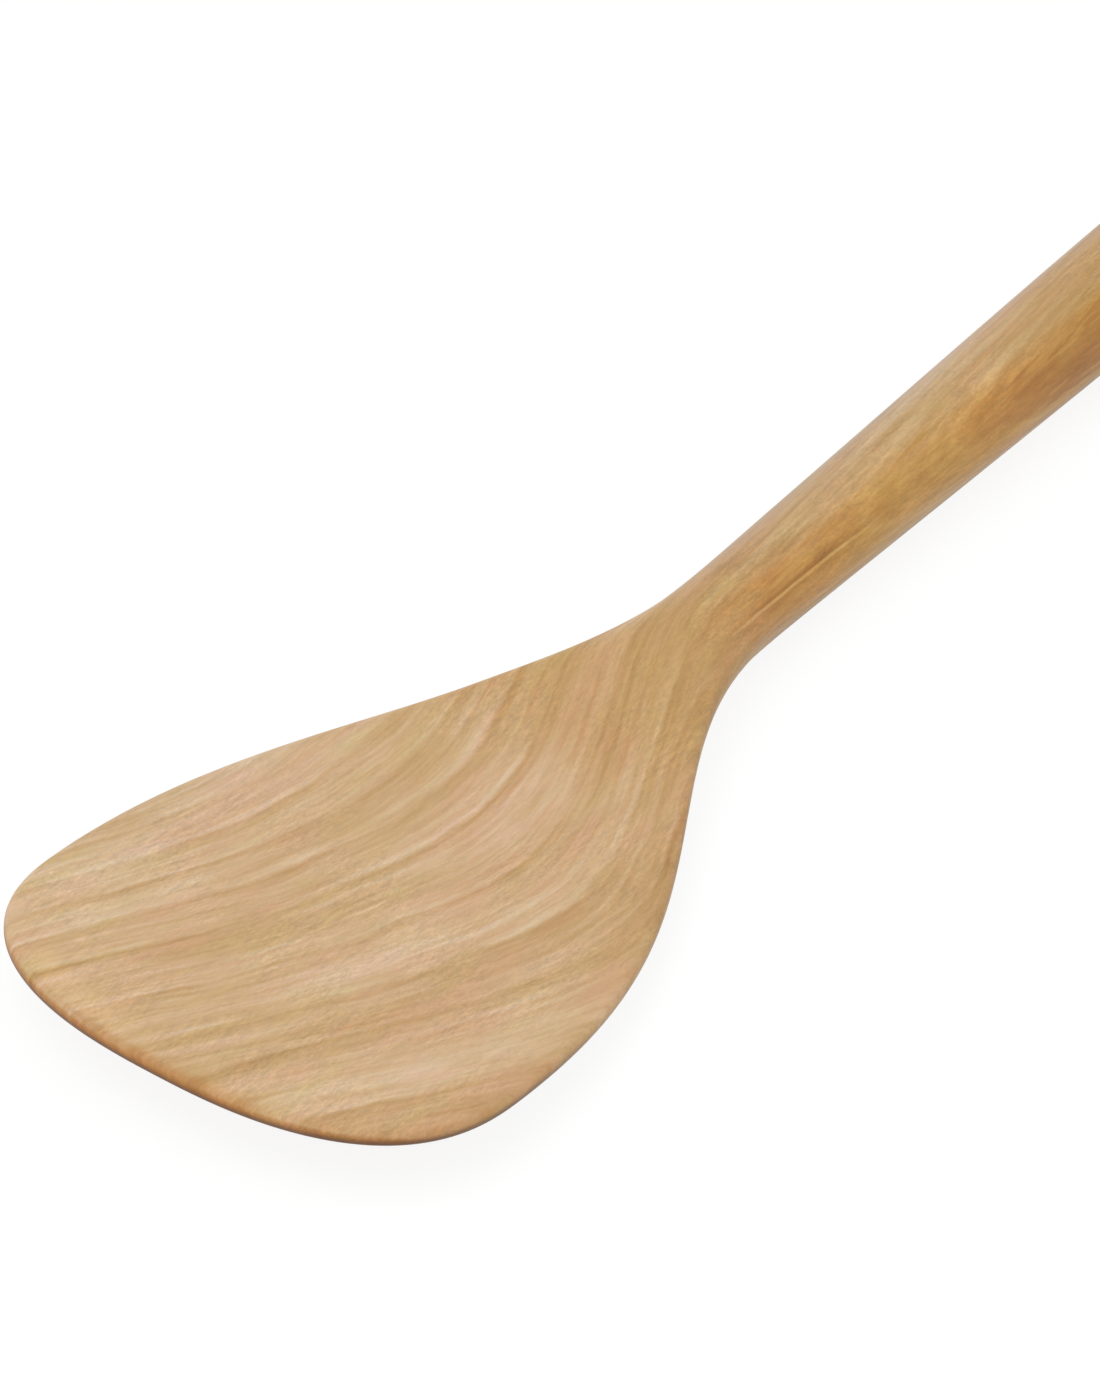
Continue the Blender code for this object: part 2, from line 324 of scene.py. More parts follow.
def sew(first, second):
    """Fill the gap between two lines of vertices with quads."""
    for i in range(len(first) - 1):
        mesh.faces.new((first[i], first[i + 1], second[i + 1], second[i]))


upper = [point_row(row.face(step, 1) for step in range(FACE_STEPS + 1)) for row in rows]
lower = [point_row(row.face(step, -1) for step in range(FACE_STEPS + 1)) for row in rows]
right = [point_row(row.edge(step, -1) for step in range(1, EDGE_STEPS)) for row in rows]
left = [point_row(row.edge(step, 1) for step in range(1, EDGE_STEPS)) for row in rows]
for i in range(len(rows) - 1):
    sew(upper[i], upper[i + 1])
    sew(lower[i], lower[i + 1])

strip = [[upper[i][0], *right[i], lower[i][0]] for i in reversed(range(len(rows)))]
for step in range(1, FACE_STEPS):
    rounded = point_row(front_edge(step, edge_step) for edge_step in range(1, EDGE_STEPS))
    strip.append([upper[0][step], *rounded, lower[0][step]])
strip += [[upper[i][-1], *left[i], lower[i][-1]] for i in range(len(rows))]
for i in range(len(strip) - 1):
    sew(strip[i], strip[i + 1])

butt = mesh.verts.new(on_table(LENGTH, 0.0, handle_axis(LENGTH)) * 0.001)
ring = [*upper[-1], *left[-1], *reversed(lower[-1]), *reversed(right[-1])]
for i in range(len(ring)):
    mesh.faces.new((ring[i], ring[(i + 1) % len(ring)], butt))
bmesh.ops.recalc_face_normals(mesh, faces=mesh.faces)

skin = bpy.data.meshes.new("carved_turner")
mesh.to_mesh(skin)
mesh.free()
skin.shade_smooth()
turner = bpy.data.objects.new("carved_turner", skin)
bpy.context.scene.collection.objects.link(turner)
print("skin:", len(skin.vertices), "points and", len(skin.polygons), "faces")

# %% [markdown]
# ## How far each point lies from the rim
#
# End grain drinks more oil than the faces do, so the blade is darker along its rim, and the arris below it
# is darkened with painted shade. A shader can't know where the rim is. We measure it once in the mesh: each
# point stores its distance from the outline, seen from above, and the material reads that number back by its
# name.

# %% Measure the distance from the rim
outline = [front_outline(a)[0] for a in np.linspace(-math.pi / 2, math.pi / 2, 1601)]
for x in np.arange(WIDEST_AT, GRIP_AT, 0.1):
    outline += [np.array([x, half_width(x)]), np.array([x, -half_width(x)])]
tree = kdtree.KDTree(len(outline))
for i, (x, y) in enumerate(outline):
    tree.insert((x - LENGTH / 2, y, 0.0), i)
tree.balance()
from_rim = [tree.find((v.co.x * 1000, v.co.y * 1000, 0.0))[2] for v in skin.vertices]
skin.attributes.new("from_rim", "FLOAT", "POINT").data.foreach_set("value", from_rim)
print("farthest from the rim:", round(max(from_rim), 1), "mm")

# %% [markdown]
# ## Wiring nodes in a few words
#
# A wood like this takes a few hundred shader nodes. Written out one by one they would bury the idea, so a
# small helper makes a node, sets it and joins it in one line. Each effect becomes a node group with named
# inputs and outputs: open one in the shader editor, and its sockets say what it does.

# %% A helper for wiring nodes


class Wires:
    """Adds nodes to a node tree. Each call returns the node's output, ready for the next call."""

    def __init__(self, node_tree):
        self.tree = node_tree

    def feed(self, socket, value):
        """Join an output to the socket, or set the socket to a number or colour."""
        if isinstance(value, bpy.types.NodeSocket):
            self.tree.links.new(value, socket)
        else:
            socket.default_value = value

    def node(self, kind, *values, out=0, **settings):
        """A node of this kind with its settings and its first inputs."""
        made = self.tree.nodes.new(kind)
        for name, value in settings.items():
            setattr(made, name, value)
        for socket, value in zip(made.inputs, values):
            self.feed(socket, value)
        return made.outputs[out]

    def math(self, operation, *values):
        return self.node("ShaderNodeMath", *values, operation=operation)

    def add(self, *values):
        total = values[0]
        for value in values[1:]:
            total = self.math("ADD", total, value)
        return total

    def times(self, a, b):
        return self.math("MULTIPLY", a, b)

    def ease(self, value, start, end, low=0.0, high=1.0):
        """Goes softly from low to high while the value goes from start to end."""
        return self.node("ShaderNodeMapRange", value, start, end, low, high, interpolation_type="SMOOTHSTEP")

    def split(self, vector):
        """The x, y and z of a vector."""
        made = self.tree.nodes.new("ShaderNodeSeparateXYZ")
        self.feed(made.inputs[0], vector)
        return made.outputs

    def stretch(self, place, x, y, z):
        """The place with each axis multiplied, so that a pattern on it is stretched."""
        return self.node("ShaderNodeVectorMath", place, (x, y, z), operation="MULTIPLY")

    def noise(self, place, detail=2.0, roughness=0.5):
        """Soft noise from about -1 to 1."""
        made = self.tree.nodes.new("ShaderNodeTexNoise")
        self.feed(made.inputs["Vector"], place)
        made.inputs["Scale"].default_value = 1.0
        made.inputs["Detail"].default_value = detail
        made.inputs["Roughness"].default_value = roughness
        return self.math("MULTIPLY_ADD", made.outputs[0], 2.0, -1.0)

    def tinted(self, factor, colour, tint):
        """The colour multiplied by the tint, as far as the factor says."""
        made = self.tree.nodes.new("ShaderNodeMix")
        made.data_type = "RGBA"
        made.blend_type = "MULTIPLY"
        self.feed(made.inputs["Factor"], factor)
        self.feed(made.inputs[6], colour)
        self.feed(made.inputs[7], tint)
        return made.outputs[2]

    def ramp(self, value, stops):
        """Grey levels or colours along a ramp, from (place, level) stops."""
        made = self.tree.nodes.new("ShaderNodeValToRGB")
        marks = made.color_ramp.elements
        while len(marks) < len(stops):
            marks.new(1.0)
        for element, (place, level) in zip(marks, stops):
            element.position = place
            element.color = level if isinstance(level, tuple) else (level, level, level, 1.0)
        self.feed(made.inputs[0], value)
        return made.outputs[0]


def node_group(name, inputs, outputs):
    """A new node group with named sockets: returns it, its wires, its inputs by name and its end node."""
    group = bpy.data.node_groups.new(name, "ShaderNodeTree")
    for label, kind in inputs.items():
        group.interface.new_socket(name=label, in_out="INPUT", socket_type="NodeSocket" + kind)
    for label, kind in outputs.items():
        group.interface.new_socket(name=label, in_out="OUTPUT", socket_type="NodeSocket" + kind)
    start = group.nodes.new("NodeGroupInput")
    end = group.nodes.new("NodeGroupOutput")
    return group, Wires(group), start.outputs, end.inputs


def srgb(red, green, blue):
    """A colour as seen on a screen, from 0 to 255, turned into the light values that shaders use."""
    parts = [part / 255 for part in (red, green, blue)]
    return tuple(p / 12.92 if p < 0.04045 else ((p + 0.055) / 1.055) ** 2.4 for p in parts) + (1.0,)


print("wood in the middle of the blade:", [round(v, 3) for v in srgb(205, 172, 132)[:3]])

# %% [markdown]
# ## Which layer of the tree are we in?
#
# A board is a stack of the tree's yearly layers. Wherever the carver's tool cuts through a layer, it shows
# as a line, so the lines of the figure are simply the contour lines of the layers on the carved surface.
# That is why they fan out towards the front of the dished blade, run level through its middle and climb
# through the throat.
#
# An image of wood wrapped round the turner would show seams and stretch at the edges. Instead this group
# works out a number for each place in the solid wood: how high it lies in the stack. The layers lean
# across the board, lean a little more in the throat, lift towards the front edge and sag in the middle.
# In the handle they are straighter and turned a little, so that streaks run along it. The next two groups
# change over the same stretch, where the throat turns into the handle.

# %% Node group: layer height
THROAT_TO_HANDLE = (118.0, 150.0)
layer_height, w, given, result = node_group("layer height", {"Place": "Vector"}, {"Layer": "Float"})
place = given["Place"]
x, y, z = w.split(place)
to_front = w.math("MAXIMUM", w.math("MULTIPLY_ADD", x, -1 / 48.6, 1.0), 0.0)
front_lift = w.times(w.times(to_front, to_front), 7.2)
from_middle = w.math("ABSOLUTE", w.math("SUBTRACT", x, 69.7))
sag = w.ease(from_middle, 0.0, 66.0, -4.56, 0.0)
lean = w.ease(x, 74.0, 114.0, -0.614, -0.782)
bow = w.times(w.times(y, y), -0.0011)
drift = w.times(w.math("MAXIMUM", w.math("SUBTRACT", x, 128.0), 0.0), 0.05)
turn = w.times(w.ease(x, *THROAT_TO_HANDLE, 0.0, -0.45), w.math("SUBTRACT", z, 9.0))
waves = w.times(w.noise(w.stretch(place, 0.03, 0.05, 0.05), 1.0), 0.9)
ripples = w.times(w.noise(w.stretch(place, 0.13, 0.26, 0.26), 2.0), 0.32)
frays = w.times(w.noise(w.stretch(place, 0.45, 1.5, 1.5), 2.0), 0.16)
unevenness = w.times(w.add(waves, ripples, frays), w.ease(x, 112.0, 150.0, 1.0, 0.35))
w.feed(result["Layer"], w.add(z, front_lift, sag, w.times(lean, y), bow, drift, turn, unevenness))
print("layer height:", len(w.tree.nodes), "nodes")

# %% [markdown]
# ## The yearly rings
#
# Each year's wood starts dark and dense and grows paler, until the next year's thin dark line cuts it off.
# Some years are wide and clear, others hardly show. The list below is this tree's diary from the lowest
# layer to the highest. Each line has four numbers: the height of a dark line, how far below it the wood is
# palest, how pale it gets there (up to 1) and how dark the line is. A colour ramp draws the lower lines and
# a second one the upper lines, because one ramp alone would be too coarse for lines as thin as these. A
# third ramp holds the broad bands: runs of years in which the wood grew paler or darker as a whole.
#
# Along its length each line comes and goes, as soft noise decides. In the throat the lines grow faint, and so
# do the bands towards the handle.

# %% Node group: yearly rings
LOWER_LINES = [
    (-20.3, 0.6, 0.3, 0.8), (-15.6, 0.6, 0.35, 0.55), (-11.3, 0.5, 0.35, 0.8), (-8.7, 0.4, 0.1, 0.4),
    (-6.1, 1.05, 1.0, 0.8), (-0.7, 0.8, 1.0, 0.65), (1.3, 0.5, 0.1, 0.3),
]
UPPER_LINES = [
    (4.3, 0.5, 0.15, 0.3), (7.2, 0.5, 0.5, 0.9), (12.8, 0.7, 0.5, 0.0), (15.3, 1.15, 1.0, 0.7),
    (17.9, 0.5, 0.1, 0.4), (21.1, 0.6, 0.4, 0.9), (29.6, 2.2, 0.5, 0.0), (31.8, 0.5, 0.3, 0.9),
]
BROAD_BANDS = [
    (-22.0, -0.3), (-18.5, 0.5), (-15.5, 0.6), (-11.5, -0.1), (-7.8, 0.4), (-5.5, -0.5), (-3.5, 0.0),
    (0.0, -0.3), (3.0, 0.4), (5.5, 0.2), (7.5, 0.1), (9.5, 0.1), (12.5, 0.9), (14.0, 0.5), (16.5, -0.2),
    (19.8, -1.0), (22.5, -0.5), (24.2, 0.0), (26.2, 0.9), (28.0, 0.0), (29.5, 0.5), (33.0, -0.6),
]
yearly_rings, w, given, result = node_group(
    "yearly rings", {"Place": "Vector", "Layer": "Float"}, {"Line": "Float", "Band": "Float"}
)


def draw(stops):
    """(height, level) stops as a ramp over the layer height, with levels from -1 to 1."""
    lowest, highest = stops[0][0], stops[-1][0]
    share = w.node("ShaderNodeMapRange", given["Layer"], lowest, highest, 0.0, 1.0)
    drawn = w.ramp(share, [((h - lowest) / (highest - lowest), 0.5 + 0.5 * level) for h, level in stops])
    return w.math("MULTIPLY_ADD", drawn, 2.0, -1.0)


def line_stops(lines):
    """Four stops for each line: plain wood, the pale wood, the dark line and plain wood again."""
    stops = []
    for i, (height, before, pale, dark) in enumerate(lines):
        plain_again = height + 1.3
        if i + 1 < len(lines):
            plain_again = min(plain_again, lines[i + 1][0] - lines[i + 1][1] - 0.61)
        stops += [(height - before - 0.6, 0.0), (height - before, pale), (height, -dark), (plain_again, 0.0)]
    return stops


lines = w.add(draw(line_stops(LOWER_LINES)), draw(line_stops(UPPER_LINES)))
x = w.split(given["Place"])[0]
presence = w.ease(w.noise(w.stretch(given["Place"], 0.04, 0.12, 0.12), 2.0), -0.35, 0.3, 0.25, 1.3)
w.feed(result["Line"], w.times(w.times(lines, presence), w.ease(x, 90.0, 118.0, 1.0, 0.5)))
w.feed(result["Band"], w.times(draw(BROAD_BANDS), w.ease(x, *THROAT_TO_HANDLE, 1.0, 0.3)))
print("yearly rings:", len(LOWER_LINES) + len(UPPER_LINES), "lines")

# %% [markdown]
# ## Streaks, flecks and pores
#
# Between the ring lines the wood is never even. Broad bands and fine streaks follow the layers, short
# flecks lie along the board, and tiny pores catch the light. All of them are noise that is stretched along
# the grain. The streaks use the layer height as one of their axes, so they bend wherever the rings bend.
# The handle has straight fibres as well, and one dark vein with a pale line under it, low on the near side
# just behind the neck. The list of stops below is that vein in section, from the pale line up. Warmth is
# a slow drift between pinker and more olive wood, partly in the layers and partly in patches.

# %% Node group: grain
VEIN = [
    (0.0, 0.5), (0.125, 0.5), (0.169, 1.0), (0.238, 1.0), (0.288, 0.18), (0.375, 0.2), (0.5, 0.33),
    (0.65, 0.42), (0.8, 0.5), (1.0, 0.5),
]
grain, w, given, result = node_group(
    "grain",
    {"Place": "Vector", "Layer": "Float"},
    {"Streak": "Float", "Fleck": "Float", "Pore": "Float", "Warmth": "Float"},
)
x, y, z = w.split(given["Place"])
in_layer = w.node("ShaderNodeCombineXYZ", w.times(x, 0.016), w.times(y, 0.02), given["Layer"])
bands = w.noise(w.stretch(in_layer, 1.0, 1.0, 0.12), 1.0)
streaks = w.noise(w.stretch(in_layer, 1.6, 1.6, 0.5), 2.0)
strands = w.noise(w.stretch(in_layer, 4.5, 4.5, 1.9), 3.0, 0.6)
streak = w.add(w.times(bands, 0.60), w.times(streaks, 0.60), w.times(strands, 0.78))
aslant = w.times(w.math("MULTIPLY_ADD", x, -0.05, y), 0.9)
along = w.node("ShaderNodeCombineXYZ", w.times(x, 0.03), aslant, w.times(z, 0.9))
fibrous = w.times(w.ease(x, *THROAT_TO_HANDLE, 0.0, 0.72), w.ease(y, 5.0, -5.0, 0.6, 1.2))
fibres = w.times(w.noise(along, 3.0, 0.68), fibrous)
wobble = w.times(w.noise(w.stretch(given["Place"], 0.08, 0.2, 0.2), 2.0), 0.5)
above_vein = w.add(w.times(y, 0.5), w.math("MULTIPLY_ADD", z, 0.866, -6.9), wobble)
vein = w.ramp(w.node("ShaderNodeMapRange", above_vein, -1.0, 3.0, 0.0, 1.0), VEIN)
vein = w.times(w.math("MULTIPLY_ADD", vein, 2.0, -1.0), w.ease(y, -1.0, -4.0, 0.0, 1.2))
vein = w.times(vein, w.times(w.ease(x, 132.0, 143.0), w.ease(x, 160.0, 176.0, 1.0, 0.0)))
w.feed(result["Streak"], w.add(streak, fibres, vein))
patches = w.ease(w.noise(w.stretch(given["Place"], 0.06, 0.10, 0.10), 1.0), -0.3, 0.3, 0.55, 1.45)
dashes = w.noise(w.stretch(given["Place"], 0.28, 1.2, 1.2), 2.0, 0.6)
specks = w.noise(w.stretch(given["Place"], 1.1, 2.8, 2.8), 2.0, 0.6)
w.feed(result["Fleck"], w.times(patches, w.add(w.times(dashes, 0.65), w.times(specks, 0.65))))
cells = w.noise(w.stretch(given["Place"], 0.8, 4.5, 4.5), 1.0)
w.feed(result["Pore"], w.ease(cells, 0.25, 0.6))
warm_layers = w.noise(w.stretch(in_layer, 2.5, 2.5, 0.5), 1.0)
warm_patches = w.noise(w.stretch(given["Place"], 0.09, 0.42, 0.42), 0.0)
warm_regions = w.noise(w.stretch(given["Place"], 0.022, 0.09, 0.09), 1.0)
warmth = w.add(w.times(warm_layers, 0.66), w.times(warm_patches, 0.36), w.times(warm_regions, 0.62))
w.feed(result["Warmth"], warmth)
print("grain:", len(w.tree.nodes), "nodes")

# %% [markdown]
# ## Places with a colour of their own
#
# The throat and the right shoulder are golden, and the wood grows paler towards the left rim. The handle
# has honey-coloured heartwood along its near side; its far side is tinted paler and bluer as painted
# reflection of the bright room. Brown streaks run in the heartwood, and one crosses the top of the neck.
# Between them lies a paler waist. As a whole the handle starts out a little paler than the throat and evens
# out towards the butt; on its underside that paleness fades, which paints shade there.
#
# On the front edge the saw has cut across the fibres. That end grain has soaked up the most oil and is
# orange-brown, and oil has crept a few millimetres into the face behind it. Left of the middle, a pale lip
# lies between the oiled edge and the face. The edge's lower arris, where it faces down, is darkened with
# painted shade, as the shadow under the lifted blade; it is the darkest line on the whole turner.
#
# Each of these places is a mask from 0 to 1. The material gives it its tint.

# %% Node group: places of their own
WAIST_AT = 181.0
own_places, w, given, result = node_group(
    "places of their own",
    {"Place": "Vector", "From rim": "Float", "Facing": "Vector"},
    {
        "Golden": "Float", "Pale rim": "Float", "Handle": "Float", "Honey": "Float", "Brown": "Float",
        "Pale": "Float", "Far side reflection": "Float", "Oil": "Float", "End grain": "Float", "Underside shade": "Float",
    },
)
x, y, z = w.split(given["Place"])
face_x, face_y, face_z = w.split(given["Facing"])
rim = given["From rim"]
cloud = w.noise(w.stretch(given["Place"], 0.03, 0.08, 0.08), 2.0)
throat = w.ease(w.add(w.times(cloud, 12.0), w.times(y, 0.15), x), 90.0, 112.0)
right = w.times(w.ease(y, -28.0, -10.0, 1.0, 0.0), w.ease(x, 10.0, 88.0, 0.15, 1.0))
shoulder_gold = w.times(right, w.ease(w.math("MULTIPLY_ADD", cloud, 9.0, rim), 1.0, 13.0, 0.8, 0.0))
shoulder_gold = w.times(shoulder_gold, w.ease(x, 64.0, 90.0, 1.0, 0.3))
w.feed(result["Golden"], w.math("MAXIMUM", throat, shoulder_gold))
left = w.times(w.ease(y, 22.0, 46.0), w.ease(x, 66.0, 104.0, 1.0, 0.0))
w.feed(result["Pale rim"], w.times(left, w.ease(x, 20.0, 55.0)))
on_handle = w.ease(x, 128.0, 153.0)
# Painted shade: the handle's paler tint fades where the surface faces down, so its underside looks shaded.
# The paler handle wood itself is its own colour.
facing_up = w.ease(face_z, -0.5, 0.15, 0.5, 1.0)
w.feed(result["Handle"], w.times(w.times(on_handle, facing_up), w.ease(x, 188.0, 235.0, 1.0, 0.0)))
climb = w.times(w.math("MAXIMUM", w.math("SUBTRACT", x, 182.0), 0.0), -0.10)
sideways = w.times(w.add(y, climb), 0.6)
along_handle = w.node("ShaderNodeCombineXYZ", w.times(x, 0.012), sideways, w.times(z, 0.5))
streaked = w.noise(along_handle, 4.0, 0.62)
near_y = w.times(face_y, w.add(w.ease(x, 128.0, 160.0, -0.68, -0.87), w.ease(x, 190.0, 235.0, 0.0, -0.12)))
near_z = w.times(face_z, w.add(w.ease(x, 128.0, 160.0, 0.74, 0.50), w.ease(x, 190.0, 235.0, 0.0, -0.08)))
heartwood = w.math("MULTIPLY_ADD", streaked, 0.16, w.add(near_y, near_z))
from_waist = w.math("ABSOLUTE", w.math("SUBTRACT", x, WAIST_AT))
honey = w.times(w.ease(heartwood, 0.66, 0.98), w.ease(x, 122.0, 150.0))
w.feed(result["Honey"], w.times(honey, w.ease(from_waist, 2.0, 26.0, 0.82, 1.0)))
from_top = w.ease(w.math("SUBTRACT", face_z, w.ease(x, 185.0, 218.0, 0.2, -0.45)), 0.0, 0.35)
fine = w.noise(w.stretch(along_handle, 1.4, 2.2, 2.2), 3.0, 0.6)
core = w.ease(w.add(heartwood, w.times(streaked, 0.14), w.times(fine, 0.18)), 0.92, 1.02)
core = w.times(core, w.times(from_top, w.ease(x, 134.0, 148.0)))
core = w.times(core, w.ease(from_waist, 8.0, 42.0, 0.15, 1.0))
leaning = w.add(w.times(y, 0.5), w.times(z, 0.866), w.times(x, 0.146), w.times(streaked, 0.8))
off_streak = w.math("ABSOLUTE", w.math("SUBTRACT", leaning, 34.4))
neck_streak = w.times(w.ease(off_streak, 0.4, 2.0, 0.5, 0.0), w.ease(face_y, 0.35, 0.6, 1.0, 0.0))
neck_streak = w.times(neck_streak, w.ease(x, 134.0, 146.0))
neck_streak = w.times(neck_streak, w.ease(x, 166.0, 182.0, 1.0, 0.0))
w.feed(result["Brown"], w.math("MAXIMUM", core, neck_streak))
waist = w.times(w.ease(from_waist, 8.0, 52.0, 1.0, 0.0), w.ease(heartwood, 0.40, 0.85))
lip = w.times(w.ease(rim, 1.2, 2.4), w.ease(rim, 4.6, 8.0, 0.8, 0.0))
lip = w.times(lip, w.times(w.ease(y, 0.0, 14.0), w.ease(y, 28.0, 34.0, 1.0, 0.0)))
lip = w.times(lip, w.ease(x, 14.0, 26.0, 1.0, 0.0))
w.feed(result["Pale"], w.math("MAXIMUM", waist, lip))
# Painted reflection: where the surface turns away, towards the handle's far side, it is tinted paler and
# bluer, as the bright room would show at a grazing angle.
away = w.add(w.times(face_y, 0.866), w.times(face_z, -0.5))
w.feed(result["Far side reflection"], w.times(on_handle, w.ease(away, -0.45, 0.35)))
across_fibres = w.ease(w.times(face_x, -1.0), 0.25, 0.85)
spread = w.math("MULTIPLY_ADD", w.noise(w.stretch(given["Place"], 0.25, 0.25, 0.25), 2.0), 1.4, rim)
thirst = w.times(w.ease(y, 26.0, 2.0), w.ease(y, -26.0, -12.0, 0.3, 1.0))
thirst = w.times(thirst, w.ease(x, 12.0, 34.0, 1.0, 0.0))
soaked = w.times(w.ease(spread, -1.0, 3.0, 1.0, 0.0), thirst)
reach = w.ease(y, -6.0, 10.0, 5.2, 2.6)
w.feed(result["Oil"], w.times(w.ease(spread, 0.3, reach, 1.0, 0.0), thirst))
w.feed(result["End grain"], w.math("MAXIMUM", across_fibres, soaked))
# Painted shade: near the front rim, the arris that faces down is darkened as if in the shadow under the
# blade.
near_rim = w.times(w.ease(rim, 0.6, 1.6, 1.0, 0.0), w.ease(x, 25.0, 70.0, 1.0, 0.0))
w.feed(result["Underside shade"], w.times(near_rim, w.ease(face_z, 0.60, -0.25)))
print("places of their own:", len(w.tree.nodes), "nodes")

# %% [markdown]
# ## The oiled wood
#
# Now the groups come together. The place is counted in millimetres from the front edge. Rings and streaks
# add up to one tone, and a ramp from olive tan to pale straw turns the tone into colour. Flecks and pores
# lighten or darken it evenly, a second slow noise makes it pinker or more olive, and the places of their
# own tint it, as oil and heartwood do, by multiplying.
#
# Oiled and sanded wood is satin, not glossy. Its roughness varies a little with the grain, and a very
# shallow bump lets ring lines and pores catch the light. The sheen stands for the fine fuzz of fibres that
# makes the far sides of the handle look paler.

# %% Build the oiled wood
wood = bpy.data.materials.new("oiled_wood")
wood.use_nodes = True
w = Wires(wood.node_tree)
surface = wood.node_tree.nodes["Principled BSDF"]


def place_group(group, **values):
    """Put a node group into the material, with its inputs joined; returns its outputs by name."""
    made = wood.node_tree.nodes.new("ShaderNodeGroup")
    made.node_tree = group
    for name, value in values.items():
        w.feed(made.inputs[name.replace("_", " ")], value)
    return made.outputs


coordinates = wood.node_tree.nodes.new("ShaderNodeTexCoord").outputs["Object"]
in_mm = w.stretch(coordinates, 1000.0, 1000.0, 1000.0)
place = w.node("ShaderNodeVectorMath", in_mm, (LENGTH / 2, 0.0, 0.0), operation="ADD")
rim = w.node("ShaderNodeAttribute", attribute_name="from_rim", out=2)
facing = wood.node_tree.nodes.new("ShaderNodeNewGeometry").outputs["Normal"]

layer = place_group(layer_height, Place=place)["Layer"]
rings = place_group(yearly_rings, Place=place, Layer=layer)
figure = place_group(grain, Place=place, Layer=layer)
own = place_group(own_places, Place=place, From_rim=rim, Facing=facing)
print("wood groups placed:", len(wood.node_tree.nodes), "nodes so far")

# %% Colour of the wood
STRAW = [
    (0.0, srgb(169, 124, 60)), (0.28, srgb(188, 147, 91)), (0.5, srgb(202, 165, 118)),
    (0.72, srgb(213, 183, 144)), (1.0, srgb(223, 200, 168)),
]
TINTS = {
    "Golden": (0.87, 0.785, 0.57),
    "Pale rim": (1.01, 1.06, 1.17),
    # paler handle wood, faded on the underside as painted shade
    "Handle": (1.02, 1.09, 1.28),
    # painted reflection of the bright room on the handle's far side
    "Far side reflection": (0.90, 0.95, 1.22),
    "Honey": (1.03, 0.845, 0.44),
    "Brown": (0.82, 0.71, 0.54),
    "Pale": (1.14, 1.16, 1.17),
    "Oil": (0.96, 0.88, 0.67),
    "End grain": (0.82, 0.60, 0.37),
    # painted shade on the down-facing arris of the front edge
    "Underside shade": (0.38, 0.33, 0.32),
}
PINKER = (1.03, 0.97, 1.04, 1.0)
MORE_OLIVE = (0.97, 1.0, 0.89, 1.0)

tone = w.add(w.times(rings["Line"], 0.42), w.times(rings["Band"], 0.21), w.times(figure["Streak"], 0.80))
wood_colour = w.ramp(w.math("MULTIPLY_ADD", tone, 0.5, 0.5), STRAW)
evenly = w.add(w.times(figure["Fleck"], 0.31), w.times(figure["Pore"], -0.10), 1.0)
wood_colour = w.tinted(1.0, wood_colour, evenly)
wood_colour = w.tinted(w.ease(figure["Warmth"], 0.0, 0.4), wood_colour, PINKER)
wood_colour = w.tinted(w.ease(figure["Warmth"], 0.0, -0.4), wood_colour, MORE_OLIVE)
for name, tint in TINTS.items():
    wood_colour = w.tinted(own[name], wood_colour, (*tint, 1.0))
w.feed(surface.inputs["Base Color"], wood_colour)
print("tints:", ", ".join(TINTS))

# %% Sheen and surface of the wood
satin = w.add(w.times(figure["Fleck"], 0.05), w.times(rings["Line"], 0.04), 0.47)
satin = w.add(satin, w.times(own["End grain"], 0.06))
w.feed(surface.inputs["Roughness"], satin)
relief = w.add(w.times(rings["Line"], 0.2), w.times(figure["Fleck"], 0.35), w.times(figure["Pore"], -0.8))
bump = wood.node_tree.nodes.new("ShaderNodeBump")
bump.inputs["Strength"].default_value = 0.35
bump.inputs["Distance"].default_value = 0.00005
w.feed(bump.inputs["Height"], relief)
w.feed(surface.inputs["Normal"], bump.outputs[0])
surface.inputs["Sheen Weight"].default_value = 0.15
surface.inputs["Sheen Roughness"].default_value = 0.5
skin.materials.append(wood)
print("oiled wood:", len(wood.node_tree.nodes), "nodes")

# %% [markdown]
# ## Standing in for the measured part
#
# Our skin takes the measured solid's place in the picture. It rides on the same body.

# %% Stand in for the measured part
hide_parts("wooden_turner")
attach(turner, "root")
print(turner.name, "stands in for wooden_turner")

# %% [markdown]
# ## A plain white table
#
# The turner lies on white. A white floor that is lit until it looks white would throw light up under the
# blade and wash out its shadows. So the floor is two things: what the camera and mirrors see is almost
# white by itself, with a faint shadow left in it, and what the other rays meet is a plain pale grey. From
# below it is clear, so that we can look up through it at the turner's underside.
#
# The table, the light and the camera are placed in metres, which are Blender's own unit.

# %% The table
TABLE_HALF = 3.0
JUST_BELOW = -0.00005
floor_mesh = bmesh.new()
bmesh.ops.create_grid(floor_mesh, x_segments=1, y_segments=1, size=TABLE_HALF)
floor_data = bpy.data.meshes.new("table")
floor_mesh.to_mesh(floor_data)
floor_mesh.free()
table = bpy.data.objects.new("table", floor_data)
table.location.z = JUST_BELOW
bpy.context.scene.collection.objects.link(table)
print("table:", 2 * TABLE_HALF, "m square")

# %% The table's white


def seen(w):
    """1 for rays from the camera, direct or by way of a mirror or glass, and 0 for all others."""
    rays = w.tree.nodes.new("ShaderNodeLightPath").outputs
    indirect = w.math("MAXIMUM", rays["Is Glossy Ray"], rays["Is Transmission Ray"])
    return w.math("MAXIMUM", rays["Is Camera Ray"], indirect)


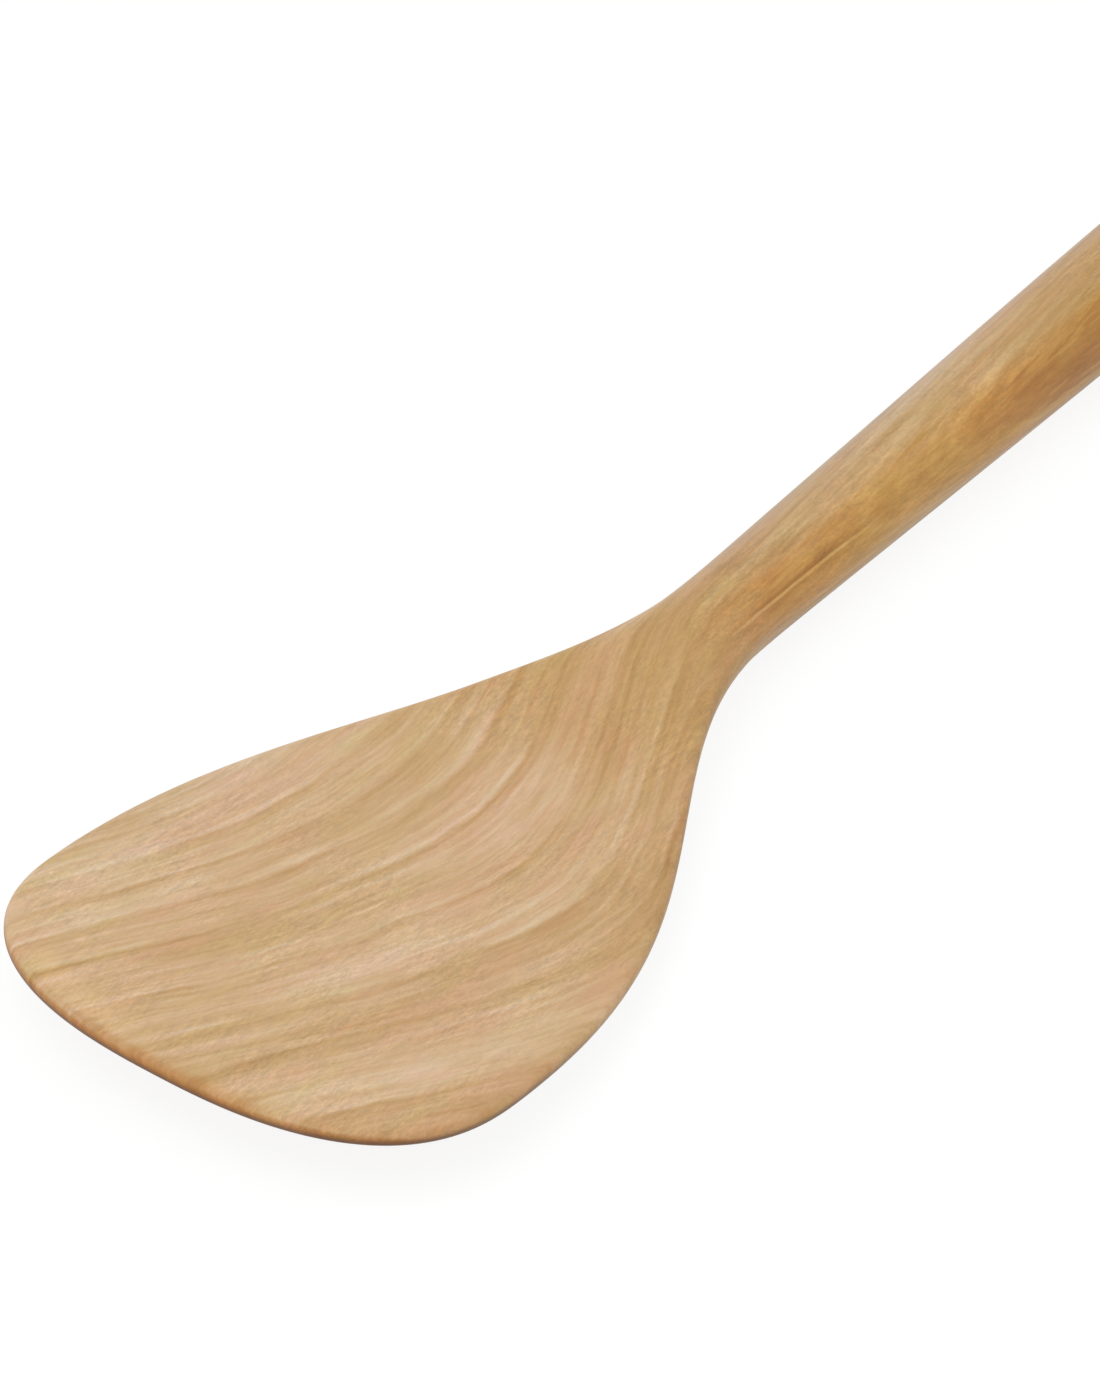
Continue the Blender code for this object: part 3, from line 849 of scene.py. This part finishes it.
white = bpy.data.materials.new("table_white")
white.use_nodes = True
w = Wires(white.node_tree)
white.node_tree.nodes.remove(white.node_tree.nodes["Principled BSDF"])
lit = w.node("ShaderNodeBsdfDiffuse", (0.13, 0.13, 0.13, 1.0))
glow = w.node("ShaderNodeEmission", (1.0, 1.0, 1.0, 1.0), 0.89)
shown = w.node("ShaderNodeAddShader", lit, glow)
plain = w.node("ShaderNodeBsdfDiffuse", (0.65, 0.65, 0.65, 1.0))
from_above = w.node("ShaderNodeMixShader", seen(w), plain, shown)
clear = w.node("ShaderNodeBsdfTransparent", (1.0, 1.0, 1.0, 1.0))
back = white.node_tree.nodes.new("ShaderNodeNewGeometry").outputs["Backfacing"]
both_sides = w.node("ShaderNodeMixShader", back, from_above, clear)
w.feed(white.node_tree.nodes["Material Output"].inputs["Surface"], both_sides)
floor_data.materials.append(white)
print("table's white:", len(white.node_tree.nodes), "nodes")

# %% [markdown]
# ## Soft studio light
#
# The light in the picture has no hard edge anywhere: a bright room and one large soft box above, a little
# to the left of the camera. The world gives the room's even light. It and the box together are set to the
# plain level at which a colour renders as it was written.

# %% Lights
world = bpy.data.worlds.new("bright_room")
bpy.context.scene.world = world
world.use_nodes = True
w = Wires(world.node_tree)
background = world.node_tree.nodes["Background"]
background.inputs["Color"].default_value = (1.0, 1.0, 1.0, 1.0)
w.feed(background.inputs["Strength"], w.node("ShaderNodeMapRange", seen(w), 0.0, 1.0, 0.78, 1.0))

box_light = bpy.data.lights.new("soft_box", "AREA")
box_light.shape = "RECTANGLE"
box_light.size = 0.9
box_light.size_y = 0.7
box_light.energy = 3.0
soft_box = bpy.data.objects.new("soft_box", box_light)
soft_box.location = (-0.35, 0.25, 1.0)
soft_box.rotation_euler = (-Vector(soft_box.location)).to_track_quat("-Z", "Y").to_euler()
bpy.context.scene.collection.objects.link(soft_box)
bpy.context.scene.view_settings.view_transform = "Standard"
print("soft box:", box_light.energy, "W")

# %% [markdown]
# ## The camera
#
# The picture was taken with a long lens from in front of the blade and to its right, looking down at about
# 38 degrees. A long lens from further away keeps the far end of the handle from shrinking.

# %% Camera
LOOK_DOWN = math.radians(38.5)
LOOK_ALONG = math.radians(37.56)
DISTANCE = 1.2
AIM = Vector((-0.04737, 0.01682, 0.0))
level = math.cos(LOOK_DOWN)
look = Vector((level * math.cos(LOOK_ALONG), level * math.sin(LOOK_ALONG), -math.sin(LOOK_DOWN)))
lens = bpy.data.cameras.new("camera")
lens.sensor_fit = "HORIZONTAL"
lens.sensor_width = 36.0
lens.lens = 247.4
lens.clip_end = 20.0
camera = bpy.data.objects.new("camera", lens)
camera.location = AIM - look * DISTANCE
camera.rotation_euler = look.to_track_quat("-Z", "Y").to_euler()
bpy.context.scene.collection.objects.link(camera)
bpy.context.scene.camera = camera
print("camera at", [round(v, 3) for v in camera.location])
